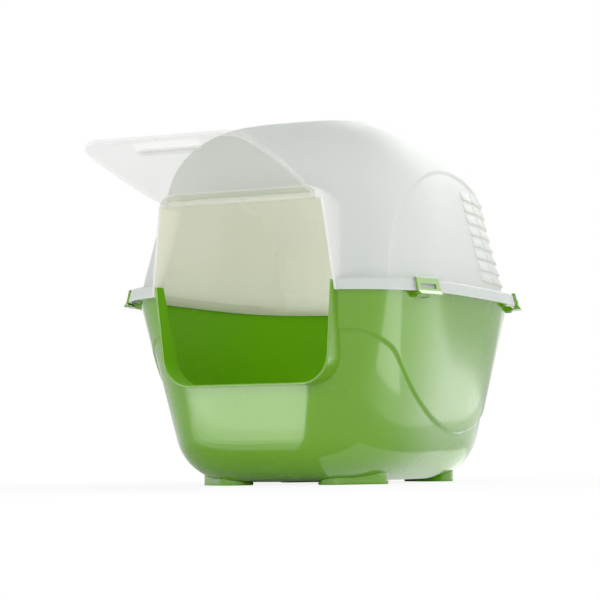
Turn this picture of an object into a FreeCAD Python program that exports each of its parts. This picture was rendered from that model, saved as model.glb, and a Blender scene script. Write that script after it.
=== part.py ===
import FreeCAD, Part
import math
import os

# A covered litter box: a deep tray, a domed hood that lifts off, a doorway that both share,
# a clear flap door hung in the doorway, four clips that hold the hood down, and four foot pads.
# Millimetres, +Z up, the floor at Z = 0, the doorway towards -Y.

# Plan of the rim, a superellipse
RIM_HALF_WIDTH = 189.0
RIM_HALF_LENGTH = 240.0
PLAN_POWER = 3.36
PLAN_POINTS = 32

# Tray
TRAY_HEIGHT = 203.3         # floor to the lower edge of the hood's skirt
UNDERSIDE_Z = 3.5           # flat underside of the tray above the floor
TRAY_SETBACK = 13.4         # rim edge to the tray's lower wall, carried up to the skirt
TRAY_DRAFT = 12.4           # degrees
TRAY_BOTTOM_RADIUS = 58.0
TRAY_WALL = 3.0
SWEEP_STEP = 2.0            # how far the upper panel stands proud of the lower one
SWEEP_LINE = [(-204.0, 163.0), (-156.0, 140.0), (-120.0, 103.0), (-64.0, 72.0),
              (22.0, 55.0), (107.0, 71.0), (170.0, 112.0), (204.0, 150.0)]     # Y and Z

# Rim: the hood's flange and skirt over the tray's ledge
SKIRT_HEIGHT = 13.5
SKIRT_WALL = 2.5
FLANGE_THICKNESS = 3.0
FLANGE_EDGE_RADIUS = 3.5
LEDGE_THICKNESS = 2.5
LEDGE_GAP = 0.6
SPIGOT_GAP = 0.6
SPIGOT_DEPTH = 7.0

# Hood
HOOD_HEIGHT = 192.7         # rim top to the crown
HOOD_SETBACK = 13.0         # rim edge to the foot of the hood's wall
HOOD_DRAFT = 12.85          # degrees
HOOD_SHOULDER_RADIUS = 93.0
HOOD_CROWN_RADIUS = 411.0
HOOD_WALL = 3.0
CROWN_FLAT = 0.4            # degrees, the small level spot where the crown's slices end
ARCH_STEP = 2.0             # how far the rear panel lies below the front one
ARCH_LINE = [(-180.0, 0.0), (-165.0, 39.0), (-146.0, 72.0), (-114.0, 99.0),
             (-57.0, 123.0), (16.0, 132.0)]     # Y, and height above the rim

# Rows of raised louvre pads on the rear of the hood
PAD_ROWS = 8
PAD_PITCH = 13.4
PAD_HEIGHT = 10.4
PAD_RISE = 2.6
PAD_COVER = 0.6             # wall left behind a pad's root
PAD_ABOVE_RIM = 10.0
PAD_WIDTH = 36.0
PAD_COLUMN_PITCH = 40.0
PAD_FRONT_Y = 8.0

# Doorway, in front view
SILL_HEIGHT = 108.0         # floor to the sill
DOOR_HEIGHT = 203.0         # sill to the underside of the roof
SILL_HALF_WIDTH = 92.5
DOOR_RIM_HALF_WIDTH = 101.0
DOOR_TOP_HALF_WIDTH = 92.0
SILL_CORNER_RADIUS = 30.0
DOOR_TOP_CORNER_RADIUS = 18.0
PORTAL_WALL = 2.5
PORTAL_GAP = 0.5            # tray's jamb inside the hood's jamb
PORTAL_SETBACK = 12.0       # rim's front edge to the sill's front edge
PORTAL_DEPTH = 96.0         # rim's front edge to the inner end of the blocks that make the doorway
PORTAL_LEAN = 2.7           # degrees, the head of the doorway stands forward

# Flap door, hung on two trunnions in the hood's jambs
FLAP_SILL_GAP = 2.0
FLAP_RAISE = 13.0           # degrees above level, as it stands
FLAP_THICKNESS = 2.0
FLAP_TOP_SIDE_GAP = 6.0     # doorway's side to the flap's side, at the hinge, half way and at the sill
FLAP_MID_SIDE_GAP = 7.0
FLAP_END_SIDE_GAP = 4.5
FLAP_CORNER_EASE = 6.0      # how much rounder the sill's corners are than the flap's
FLAP_LIP_WIDTH = 1.8
FLAP_LIP_DEPTH = 4.0
HINGE_DROP = 8.0            # roof's underside to the hinge axis
HINGE_INSET = 5.2           # front edge of the jamb to the hinge axis
BARREL_RADIUS = 4.0
BARREL_END_GAP = 0.3
TRUNNION_RADIUS = 2.0
TRUNNION_GAP = 0.05
TRUNNION_LENGTH = 3.2
TRUNNION_END_GAP = 0.3
BOSS_RADIUS = 4.5
BOSS_GAP = 0.4              # round of the hinge bosses to the flap's sheet
GRIP_WIDTH = 75.0
GRIP_LENGTH = 22.0
GRIP_DEPTH = 7.0
GRIP_WALL = 2.0
GRIP_CORNER_RADIUS = 7.0
GRIP_TAPER = 2.5
GRIP_FROM_END = 24.0        # free edge to the middle of the grip

# Clips, hinged on ears under the rim and hooked over the flange
CLIP_Y = 147.0              # where along the rim they stand, front and rear
CLIP_WIDTH = 42.0
CLIP_THICKNESS = 1.6
CLIP_GAP = 0.6              # skirt to the plate
CLIP_HOOK_REACH = 2.2
CLIP_HOOK_THICKNESS = 1.2
CLIP_HOOK_GAP = 0.3
CLIP_TAB = 3.0
CLIP_TAB_EDGE = 1.0
CLIP_EAR_GAP = 1.6          # round of the ears to the wide part of the clip
CLIP_PIVOT_INSET = 8.5      # rim edge to the pivot
CLIP_PIVOT_DROP = 3.0       # skirt's lower edge to the pivot
CLIP_KNUCKLE_RADIUS = 2.8
CLIP_KNUCKLE_WIDTH = 16.0
CLIP_PIN_RADIUS = 1.5
CLIP_PIN_GAP = 0.05
CLIP_PIN_LENGTH = 2.2
CLIP_WINDOW_WIDTH = 26.0
CLIP_WINDOW_HEIGHT = 5.0
EAR_THICKNESS = 3.0
EAR_RADIUS = 3.2
EAR_GAP = 0.3

# Foot pads, pushed on to pegs under the tray
FOOT_X = 75.0
FOOT_Y = 114.5
FOOT_LENGTH = 78.0
FOOT_WIDTH = 40.0
FOOT_TURN = 42.0            # degrees, the long axis follows the corner
FOOT_HEIGHT = 14.0          # before the tray's curve cuts its top
FOOT_GAP = 0.2
FOOT_EDGE_RADIUS = 1.0
PEG_RADIUS = 4.0
PEG_GAP = 0.1
PEG_PITCH = 30.0
PEG_CLEAR_FLOOR = 1.3
SOCKET_FLOOR = 1.0

# Worked out from the sizes above
RIM_TOP_Z = TRAY_HEIGHT + SKIRT_HEIGHT
PAD_FIRST_Z = RIM_TOP_Z + PAD_ABOVE_RIM
TRAY_TOP_Z = RIM_TOP_Z - FLANGE_THICKNESS
CROWN_Z = RIM_TOP_Z + HOOD_HEIGHT
ROOF_Z = SILL_HEIGHT + DOOR_HEIGHT
HINGE_Z = ROOF_Z - HINGE_DROP
SILL_FRONT_Y = PORTAL_SETBACK - RIM_HALF_LENGTH
FLAP_HINGE_HALF_WIDTH = DOOR_TOP_HALF_WIDTH - FLAP_TOP_SIDE_GAP
FLAP_MID_HALF_WIDTH = DOOR_RIM_HALF_WIDTH - FLAP_MID_SIDE_GAP
FLAP_END_HALF_WIDTH = SILL_HALF_WIDTH - FLAP_END_SIDE_GAP
FLAP_CORNER_RADIUS = SILL_CORNER_RADIUS - FLAP_CORNER_EASE
BEYOND = 60.0               # how far cutting blocks reach past what they cut
SAME = 1e-6                 # how close two points lie to count as one


def vec(x, y, z):
    return FreeCAD.Vector(x, y, z)


def front_y(z):
    """Front edge of the doorway at a height."""
    return SILL_FRONT_Y - (z - SILL_HEIGHT) * math.tan(math.radians(PORTAL_LEAN))


HINGE_Y = front_y(HINGE_Z) + HINGE_INSET
FLAP_LENGTH = HINGE_Z - SILL_HEIGHT - FLAP_SILL_GAP


def plan_wire(half_width, half_length, z):
    """Closed curve of one level slice through the body."""
    points = []
    for k in range(PLAN_POINTS):
        angle = 2 * math.pi * k / PLAN_POINTS
        c = math.cos(angle)
        s = math.sin(angle)
        reach = (abs(c) ** PLAN_POWER + abs(s) ** PLAN_POWER) ** (-1 / PLAN_POWER)
        points.append(vec(half_width * c * reach, half_length * s * reach, z))
    curve = Part.BSplineCurve()
    steps = [k / PLAN_POINTS for k in range(PLAN_POINTS + 1)]
    curve.interpolate(Points=points, PeriodicFlag=True, Parameters=steps)
    return Part.Wire([curve.toShape()])


def skin(levels):
    """Smooth solid through slices given as half width, half length and height."""
    return Part.makeLoft([plan_wire(*level) for level in levels], True)


def slab(inset, low_z, high_z):
    """Upright block inside the rim's plan."""
    wire = plan_wire(RIM_HALF_WIDTH - inset, RIM_HALF_LENGTH - inset, low_z)
    return Part.Face(wire).extrude(vec(0, 0, high_z - low_z))


def tray_inset(z, inset):
    """Rim edge to the tray's straight wall at a height."""
    draft = math.radians(TRAY_DRAFT)
    return TRAY_SETBACK + (TRAY_HEIGHT - z) * math.tan(draft) + inset / math.cos(draft)


def tray_form(inset, top_z):
    """The tray's solid form, all its faces moved in by the inset."""
    draft = math.radians(TRAY_DRAFT)
    radius = TRAY_BOTTOM_RADIUS - inset
    centre_z = UNDERSIDE_Z + TRAY_BOTTOM_RADIUS
    wall_z = centre_z - radius * math.sin(draft)
    centre_inset = tray_inset(wall_z, inset) + radius * math.cos(draft)
    stations = []
    # the slices are evenly spaced along the profile, so that the surface doesn't waver
    arc_steps = 6
    for k in range(arc_steps + 1):
        turn = (math.pi / 2 - draft) * k / arc_steps
        stations.append((centre_inset - radius * math.sin(turn), centre_z - radius * math.cos(turn)))
    spacing = radius * (math.pi / 2 - draft) / arc_steps
    wall_steps = round((top_z - wall_z) / spacing)
    for k in range(1, wall_steps + 1):
        z = wall_z + (top_z - wall_z) * k / wall_steps
        stations.append((tray_inset(z, inset), z))
    return skin([(RIM_HALF_WIDTH - d, RIM_HALF_LENGTH - d, z) for d, z in stations])


def hood_shoulder():
    """Centre of the shoulder's arc: it touches the straight wall and the crown's arc."""
    draft = math.radians(HOOD_DRAFT)
    slope = math.tan(draft)
    line = RIM_HALF_WIDTH - HOOD_SETBACK + RIM_TOP_Z * slope - HOOD_SHOULDER_RADIUS / math.cos(draft)
    crown_centre_z = CROWN_Z - HOOD_CROWN_RADIUS
    a = 1 + slope ** 2
    b = -2 * (line * slope + crown_centre_z)
    c = line ** 2 + crown_centre_z ** 2 - (HOOD_CROWN_RADIUS - HOOD_SHOULDER_RADIUS) ** 2
    z = (-b + math.sqrt(b * b - 4 * a * c)) / (2 * a)
    return line - z * slope, z


def hood_reach(z):
    """Half width of the hood at a height on its wall or shoulder."""
    draft = math.radians(HOOD_DRAFT)
    shoulder_x, shoulder_z = hood_shoulder()
    if z < shoulder_z + HOOD_SHOULDER_RADIUS * math.sin(draft):
        return RIM_HALF_WIDTH - HOOD_SETBACK - (z - RIM_TOP_Z) * math.tan(draft)
    return shoulder_x + math.sqrt(HOOD_SHOULDER_RADIUS ** 2 - (z - shoulder_z) ** 2)


def hood_stations():
    """Half-width profile of the hood: width, height and slope of the outward normal."""
    draft = math.radians(HOOD_DRAFT)
    crown_centre_z = CROWN_Z - HOOD_CROWN_RADIUS
    shoulder_x, shoulder_z = hood_shoulder()
    crown_turn = math.atan2(shoulder_z - crown_centre_z, shoulder_x)
    stations = []
    wall_top_z = shoulder_z + HOOD_SHOULDER_RADIUS * math.sin(draft)
    wall_steps = 3
    for k in range(wall_steps):
        z = RIM_TOP_Z + (wall_top_z - RIM_TOP_Z) * k / wall_steps
        stations.append((hood_reach(z), z, draft))
    shoulder_steps = 5
    for k in range(shoulder_steps):
        turn = draft + (crown_turn - draft) * k / shoulder_steps
        x = shoulder_x + HOOD_SHOULDER_RADIUS * math.cos(turn)
        stations.append((x, shoulder_z + HOOD_SHOULDER_RADIUS * math.sin(turn), turn))
    crown_steps = 6
    last_turn = math.radians(90 - CROWN_FLAT)
    for k in range(crown_steps + 1):
        turn = crown_turn + (last_turn - crown_turn) * k / crown_steps
        x = HOOD_CROWN_RADIUS * math.cos(turn)
        stations.append((x, crown_centre_z + HOOD_CROWN_RADIUS * math.sin(turn), turn))
    return stations


def hood_aspect():
    """Length of the hood over its width."""
    return (RIM_HALF_LENGTH - HOOD_SETBACK) / (RIM_HALF_WIDTH - HOOD_SETBACK)


def hood_form(inset):
    """The hood's solid form above the rim, all its faces moved in by the inset."""
    levels = []
    for x, z, turn in hood_stations():
        side = inset * math.cos(turn)
        levels.append((x - side, x * hood_aspect() - side, z - inset * math.sin(turn)))
    return skin(levels)


def side_prism(points, before, after, floor_z):
    """Block right across the box, below a line drawn in side view as Y and Z.

    The line is a curve through the points, led in from one point and out to another.
    """
    x = -RIM_HALF_WIDTH - BEYOND
    curve = Part.BSplineCurve()
    curve.interpolate([vec(x, y, z) for y, z in points])
    first = vec(x, *points[0])
    last = vec(x, *points[-1])
    corners = [last, vec(x, *after), vec(x, after[0], floor_z), vec(x, before[0], floor_z)]
    if before[1] > floor_z:
        corners.append(vec(x, *before))
    corners.append(first)
    edges = [curve.toShape()]
    for start, end in zip(corners, corners[1:]):
        edges.append(Part.LineSegment(start, end).toShape())
    return Part.Face(Part.Wire(edges)).extrude(vec(-2 * x, 0, 0))


def front_prism(corners, rounded, radius, back_y):
    """Block along Y with a front-view outline, some of its corners rounded."""
    far = -RIM_HALF_LENGTH - BEYOND
    points = [vec(x, far, z) for x, z in corners]
    block = Part.Face(Part.makePolygon(points + points[:1])).extrude(vec(0, back_y - far, 0))
    edges = []
    for edge in block.Edges:
        start, end = [v.Point for v in edge.Vertexes]
        along = abs(start.x - end.x) + abs(start.z - end.z) < SAME
        if along and any(abs(start.x - x) + abs(start.z - z) < SAME for x, z in rounded):
            edges.append(edge)
    return block.makeFillet(radius, edges)


def trim_front(block):
    """Cut a block off at the doorway's leaning front plane."""
    low_z = -BEYOND
    high_z = CROWN_Z + BEYOND
    far = -RIM_HALF_LENGTH - 3 * BEYOND
    outline = [(front_y(low_z), low_z), (front_y(high_z), high_z), (far, high_z), (far, low_z)]
    x = RIM_HALF_WIDTH + BEYOND
    points = [vec(-x, y, z) for y, z in outline]
    return block.cut(Part.Face(Part.makePolygon(points + points[:1])).extrude(vec(2 * x, 0, 0)))


def tray_portal(grow, top_z):
    """The doorway's lower half, its outline moved out by a wall."""
    rise = TRAY_TOP_Z - SILL_HEIGHT
    flare = (DOOR_RIM_HALF_WIDTH - SILL_HALF_WIDTH) / rise
    side = grow * math.sqrt(1 + flare ** 2)
    low_z = SILL_HEIGHT - grow
    low = SILL_HALF_WIDTH - grow * flare + side
    high = SILL_HALF_WIDTH + (top_z - SILL_HEIGHT) * flare + side
    corners = [(-low, low_z), (low, low_z), (high, top_z), (-high, top_z)]
    return front_prism(corners, corners[:2], SILL_CORNER_RADIUS + grow, portal_back_y())


def hood_portal(grow, low_z):
    """The doorway's upper half, its outline moved out by a wall."""
    rim_half = DOOR_RIM_HALF_WIDTH + PORTAL_WALL + PORTAL_GAP
    flare = (rim_half - DOOR_TOP_HALF_WIDTH) / (ROOF_Z - TRAY_TOP_Z)
    side = grow * math.sqrt(1 + flare ** 2)
    high_z = ROOF_Z + grow
    high = DOOR_TOP_HALF_WIDTH - grow * flare + side
    low = rim_half + (TRAY_TOP_Z - low_z) * flare + side
    corners = [(-high, high_z), (high, high_z), (low, low_z), (-low, low_z)]
    return front_prism(corners, corners[:2], DOOR_TOP_CORNER_RADIUS + grow, portal_back_y())


def portal_back_y():
    """Where the doorway's blocks end, well inside the box."""
    return PORTAL_DEPTH - RIM_HALF_LENGTH


def plan_frame(half_width, half_length, angle):
    """Frame on a plan curve: X points out of it, Y along it."""
    c = math.cos(angle)
    s = math.sin(angle)
    reach = (abs(c) ** PLAN_POWER + abs(s) ** PLAN_POWER) ** (-1 / PLAN_POWER)
    x = c * reach
    y = s * reach
    out_x = math.copysign(abs(x) ** (PLAN_POWER - 1), x) / half_width
    out_y = math.copysign(abs(y) ** (PLAN_POWER - 1), y) / half_length
    turn = FreeCAD.Rotation(vec(1, 0, 0), vec(out_x, out_y, 0))
    return FreeCAD.Placement(vec(x * half_width, y * half_length, 0), turn)


def wall_frame(z, angle):
    """Frame on the hood's wall at a height, with its origin on the floor."""
    return plan_frame(hood_reach(z), hood_reach(z) * hood_aspect(), angle)


def pad_angles():
    """Where the columns of louvre pads stand, walked along the wall from the rear middle."""
    middle_z = PAD_FIRST_Z + PAD_ROWS * PAD_PITCH / 2
    steps = 2000
    turns = [math.pi / 2 * (1 - k / steps) for k in range(steps + 1)]
    spots = [wall_frame(middle_z, turn).Base for turn in turns]
    chosen = []
    walked = PAD_COLUMN_PITCH / 2
    for k in range(1, steps + 1):
        walked += spots[k].distanceToPoint(spots[k - 1])
        if spots[k].y < PAD_FRONT_Y + PAD_WIDTH / 2:
            break
        if walked >= PAD_COLUMN_PITCH:
            walked -= PAD_COLUMN_PITCH
            chosen.append(turns[k])
    return chosen


def louvre_pads():
    """Wedges on the hood's rear wall, proud at the lower edge and flush at the upper one."""
    root = HOOD_WALL - PAD_COVER
    pads = []
    for angle in pad_angles():
        for row in range(PAD_ROWS):
            low_z = PAD_FIRST_Z + row * PAD_PITCH
            high_z = low_z + PAD_HEIGHT
            frame = wall_frame((low_z + high_z) / 2, angle)
            back = frame.inverse()
            low_x = back.multVec(wall_frame(low_z, angle).Base).x - ARCH_STEP
            high_x = back.multVec(wall_frame(high_z, angle).Base).x - ARCH_STEP
            profile = [(low_x + PAD_RISE, low_z), (high_x, high_z),
                       (high_x - root, high_z), (low_x - root, low_z)]
            pad = place(plate(profile, PAD_WIDTH), frame)
            pads += [pad, pad.mirror(vec(0, 0, 0), vec(1, 0, 0))]
    return pads


def rim_place(x_side, y_side):
    """Frame on the rim's edge at a clip: X points out, Y along the edge, origin on the floor."""
    y = CLIP_Y / RIM_HALF_LENGTH
    x = (1 - y ** PLAN_POWER) ** (1 / PLAN_POWER)
    out = vec(x_side * x ** (PLAN_POWER - 1) / RIM_HALF_WIDTH,
              y_side * y ** (PLAN_POWER - 1) / RIM_HALF_LENGTH, 0)
    turn = FreeCAD.Rotation(vec(1, 0, 0), out)
    return FreeCAD.Placement(vec(x_side * x * RIM_HALF_WIDTH, y_side * CLIP_Y, 0), turn)


def corner_places():
    """The four corners: name and the signs of X and Y."""
    return [("front_left", -1, -1), ("front_right", 1, -1), ("rear_left", -1, 1), ("rear_right", 1, 1)]


def plate(profile, width):
    """Outline in the X-Z plane, extruded to a width centred on Y."""
    points = [vec(x, -width / 2, z) for x, z in profile]
    return Part.Face(Part.makePolygon(points + points[:1])).extrude(vec(0, width, 0))


def rod(radius, length, x, z):
    """Cylinder along Y, centred on Y."""
    return Part.makeCylinder(radius, length, vec(x, -length / 2, z), vec(0, 1, 0))


def clip_pivot():
    """The clip's hinge axis in the rim's frame: X and Z."""
    return -CLIP_PIVOT_INSET, TRAY_HEIGHT - CLIP_PIVOT_DROP


def clip():
    """One clip in the rim's frame: knuckle, web, plate with its window, hook and finger tab."""
    pivot_x, pivot_z = clip_pivot()
    back = CLIP_GAP
    face = back + CLIP_THICKNESS
    low = pivot_z - CLIP_THICKNESS / 2
    high = pivot_z + CLIP_THICKNESS / 2
    hook_low = RIM_TOP_Z + CLIP_HOOK_GAP
    hook_top = hook_low + CLIP_HOOK_THICKNESS
    ear_clear = pivot_x + EAR_RADIUS + CLIP_EAR_GAP
    body = plate([(ear_clear, low), (face + CLIP_TAB, low), (face + CLIP_TAB, low + CLIP_TAB_EDGE),
                  (face, high + CLIP_TAB), (face, hook_top), (-CLIP_HOOK_REACH, hook_top),
                  (-CLIP_HOOK_REACH, hook_low), (back, hook_low), (back, high), (ear_clear, high)],
                 CLIP_WIDTH)
    web = plate([(pivot_x, low), (back, low), (back, high), (pivot_x, high)], CLIP_KNUCKLE_WIDTH)
    knuckle = rod(CLIP_KNUCKLE_RADIUS, CLIP_KNUCKLE_WIDTH, pivot_x, pivot_z)
    pin = rod(CLIP_PIN_RADIUS, CLIP_KNUCKLE_WIDTH + 2 * CLIP_PIN_LENGTH, pivot_x, pivot_z)
    window_z = (low + hook_top) / 2
    window = Part.makeBox(face + CLIP_TAB, CLIP_WINDOW_WIDTH, CLIP_WINDOW_HEIGHT,
                          vec(0, -CLIP_WINDOW_WIDTH / 2, window_z - CLIP_WINDOW_HEIGHT / 2))
    return body.fuse([web, knuckle, pin]).removeSplitter().cut(window)


def clip_ears():
    """Two ears on the tray's wall that carry one clip, in the rim's frame."""
    pivot_x, pivot_z = clip_pivot()
    wall_x = -tray_inset(pivot_z - EAR_RADIUS, 0)
    hole = rod(CLIP_PIN_RADIUS + CLIP_PIN_GAP, CLIP_WIDTH, pivot_x, pivot_z)
    ears = []
    for side in (-1, 1):
        middle = side * (CLIP_KNUCKLE_WIDTH / 2 + EAR_GAP + EAR_THICKNESS / 2)
        profile = [(wall_x, pivot_z - EAR_RADIUS), (pivot_x, pivot_z - EAR_RADIUS),
                   (pivot_x, pivot_z + EAR_RADIUS), (wall_x, pivot_z + EAR_RADIUS)]
        ear = plate(profile, EAR_THICKNESS).fuse(rod(EAR_RADIUS, EAR_THICKNESS, pivot_x, pivot_z))
        ear.translate(vec(0, middle, 0))
        ears.append(ear.removeSplitter().cut(hole))
    return ears


def foot_place(x_side, y_side):
    """Frame under one corner: X along the pad."""
    turn = FreeCAD.Rotation(vec(0, 0, 1), -x_side * y_side * FOOT_TURN)
    return FreeCAD.Placement(vec(x_side * FOOT_X, y_side * FOOT_Y, 0), turn)


def pegs(radius, low_z, high_z):
    """The two upright pegs of one foot, in the foot's frame."""
    places = [vec(side * PEG_PITCH / 2, 0, low_z) for side in (-1, 1)]
    return [Part.makeCylinder(radius, high_z - low_z, place) for place in places]


def foot_pad():
    """One pad in its own frame, before the tray's curve cuts its top."""
    straight = (FOOT_LENGTH - FOOT_WIDTH) / 2
    radius = FOOT_WIDTH / 2
    ends = [vec(straight, -radius, 0), vec(straight, radius, 0), vec(-straight, radius, 0),
            vec(-straight, -radius, 0)]
    outline = [Part.Arc(ends[0], vec(straight + radius, 0, 0), ends[1]).toShape(),
               Part.LineSegment(ends[1], ends[2]).toShape(),
               Part.Arc(ends[2], vec(-straight - radius, 0, 0), ends[3]).toShape(),
               Part.LineSegment(ends[3], ends[0]).toShape()]
    pad = Part.Face(Part.Wire(outline)).extrude(vec(0, 0, FOOT_HEIGHT))
    bottom = [edge for edge in pad.Edges if edge.BoundBox.ZMax < SAME]
    return pad.makeFillet(FOOT_EDGE_RADIUS, bottom)


def place(shape, placement):
    moved = shape.copy()
    moved.Placement = placement.multiply(moved.Placement)
    return moved


def stepped(front_form, rear_form, region):
    """One form outside the region and the other inside it, joined at the step between them."""
    return front_form.cut(region).fuse(rear_form.common(region))


def sweep_region():
    """The tray's lower panel: all below the sweep line."""
    first_y, first_z = SWEEP_LINE[0]
    last_y, last_z = SWEEP_LINE[-1]
    return side_prism(SWEEP_LINE, (first_y - BEYOND, first_z), (last_y + BEYOND, last_z), -BEYOND)


def arch_region():
    """The hood's rear panel: all behind and below the arch line."""
    far = RIM_HALF_LENGTH + BEYOND
    line = [(y, RIM_TOP_Z + height) for y, height in ARCH_LINE]
    return side_prism(line, (line[0][0], TRAY_HEIGHT), (far, line[-1][1]), TRAY_HEIGHT)


def tray(region):
    """Tray with its half of the doorway, ledge, clip ears and foot pegs."""
    outer = stepped(tray_form(-SWEEP_STEP, TRAY_TOP_Z), tray_form(0, TRAY_TOP_Z), region)
    over_z = TRAY_TOP_Z + SKIRT_HEIGHT
    inner = stepped(tray_form(TRAY_WALL - SWEEP_STEP, over_z), tray_form(TRAY_WALL, over_z), region)
    added = [trim_front(tray_portal(PORTAL_WALL, TRAY_TOP_Z)),
             slab(SKIRT_WALL + LEDGE_GAP, TRAY_TOP_Z - LEDGE_THICKNESS, TRAY_TOP_Z)]
    for name, x_side, y_side in corner_places():
        added += [place(ear, rim_place(x_side, y_side)) for ear in clip_ears()]
        peg_pair = pegs(PEG_RADIUS, PEG_CLEAR_FLOOR, TRAY_BOTTOM_RADIUS)
        added += [place(peg, foot_place(x_side, y_side)) for peg in peg_pair]
    return outer.fuse(added).cut(inner).cut(tray_portal(0, over_z))


def rim_block():
    """Solid disc of the hood's rim with a rounded upper edge."""
    round_z = RIM_TOP_Z - FLANGE_EDGE_RADIUS
    steps = 4
    levels = []
    for k in range(steps + 1):
        turn = math.pi / 2 * k / steps
        inset = FLANGE_EDGE_RADIUS * (1 - math.cos(turn))
        z = round_z + FLANGE_EDGE_RADIUS * math.sin(turn)
        levels.append((RIM_HALF_WIDTH - inset, RIM_HALF_LENGTH - inset, z))
    return slab(0, TRAY_HEIGHT, round_z).fuse(skin(levels))


def rim_groove():
    """Space under the flange for the tray's wall and ledge, between skirt and spigot."""
    inset = TRAY_WALL - SWEEP_STEP + SPIGOT_GAP
    levels = []
    for z in (TRAY_TOP_Z - SPIGOT_DEPTH, TRAY_TOP_Z):
        d = tray_inset(z, inset)
        levels.append((RIM_HALF_WIDTH - d, RIM_HALF_LENGTH - d, z))
    return slab(SKIRT_WALL, TRAY_HEIGHT - SKIRT_HEIGHT, TRAY_TOP_Z).cut(skin(levels))


def hinge_rod(radius, start, length, side):
    """Cylinder on the flap's hinge axis, from a distance off the middle."""
    return Part.makeCylinder(radius, length, vec(side * start, HINGE_Y, HINGE_Z), vec(side, 0, 0))


def hood(region):
    """Hood with its half of the doorway, rim, spigot and hinge bosses."""
    outer = stepped(hood_form(0), hood_form(ARCH_STEP), region)
    inner = stepped(hood_form(HOOD_WALL), hood_form(ARCH_STEP + HOOD_WALL), region)
    portal = trim_front(hood_portal(PORTAL_WALL, TRAY_HEIGHT))
    foot_inset = HOOD_SETBACK + HOOD_WALL * math.cos(math.radians(HOOD_DRAFT))
    throat = slab(foot_inset, TRAY_HEIGHT - SKIRT_HEIGHT, RIM_TOP_Z)
    shell = outer.fuse([rim_block(), portal]).cut(rim_groove()).cut(throat).cut(inner)
    shell = shell.cut(hood_portal(0, TRAY_HEIGHT - SKIRT_HEIGHT))
    boss_start = FLAP_HINGE_HALF_WIDTH + BARREL_END_GAP
    for side in (-1, 1):
        boss = hinge_rod(BOSS_RADIUS, boss_start, DOOR_TOP_HALF_WIDTH, side).common(portal)
        hole_length = TRUNNION_LENGTH + TRUNNION_END_GAP
        hole = hinge_rod(TRUNNION_RADIUS + TRUNNION_GAP, FLAP_HINGE_HALF_WIDTH, hole_length, side)
        shell = shell.fuse(boss).cut(hole)
    return shell.fuse(louvre_pads())


def flap_block(inset, hinge_y, low_z, high_z):
    """Upright block with the flap's outline, moved in by the inset, before it is raised."""
    end_y = inset - FLAP_LENGTH
    hinge_half = FLAP_HINGE_HALF_WIDTH - inset
    middle = vec(FLAP_MID_HALF_WIDTH - inset, end_y / 2, low_z)
    corners = [vec(hinge_half, hinge_y, low_z), vec(FLAP_END_HALF_WIDTH - inset, end_y, low_z)]
    mirrored = [vec(-p.x, p.y, p.z) for p in reversed(corners)]
    edges = [Part.Arc(corners[0], middle, corners[1]).toShape(),
             Part.LineSegment(corners[1], mirrored[0]).toShape(),
             Part.Arc(mirrored[0], vec(-middle.x, middle.y, low_z), mirrored[1]).toShape(),
             Part.LineSegment(mirrored[1], corners[0]).toShape()]
    block = Part.Face(Part.Wire(edges)).extrude(vec(0, 0, high_z - low_z))
    ends = []
    for edge in block.Edges:
        box = edge.BoundBox
        if box.ZLength > (high_z - low_z) / 2 and box.YMax < end_y / 2:
            ends.append(edge)
    return block.makeFillet(FLAP_CORNER_RADIUS - inset, ends)


def grip_block(inset, low_z, high_z):
    """Tapered block for the finger grip, moved in by the inset."""
    wires = []
    for z, taper in ((low_z, GRIP_TAPER), (high_z, 0)):
        half_x = GRIP_WIDTH / 2 - inset - taper
        half_y = GRIP_LENGTH / 2 - inset - taper
        radius = GRIP_CORNER_RADIUS - inset - taper / 2
        centre_y = GRIP_FROM_END - FLAP_LENGTH
        wires.append(rounded_rectangle(half_x, half_y, radius, centre_y, z))
    return Part.makeLoft(wires, True, True)


def rounded_rectangle(half_x, half_y, radius, centre_y, z):
    """Closed outline centred on X, with four quarter-circle corners."""
    edges = []
    bend = radius * math.sqrt(0.5)
    signs = [(1, -1), (1, 1), (-1, 1), (-1, -1)]
    for k, (sx, sy) in enumerate(signs):
        centre = vec(sx * (half_x - radius), centre_y + sy * (half_y - radius), z)
        along_x = centre + vec(sx * radius, 0, 0)
        along_y = centre + vec(0, sy * radius, 0)
        start, end = (along_y, along_x) if sx * sy < 0 else (along_x, along_y)
        edges.append(Part.Arc(start, centre + vec(sx * bend, sy * bend, 0), end).toShape())
        next_sx, next_sy = signs[(k + 1) % 4]
        next_centre = vec(next_sx * (half_x - radius), centre_y + next_sy * (half_y - radius), z)
        step = vec(next_sx * radius, 0, 0) if next_sx * next_sy > 0 else vec(0, next_sy * radius, 0)
        edges.append(Part.LineSegment(end, next_centre + step).toShape())
    return Part.Wire(edges)


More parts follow.
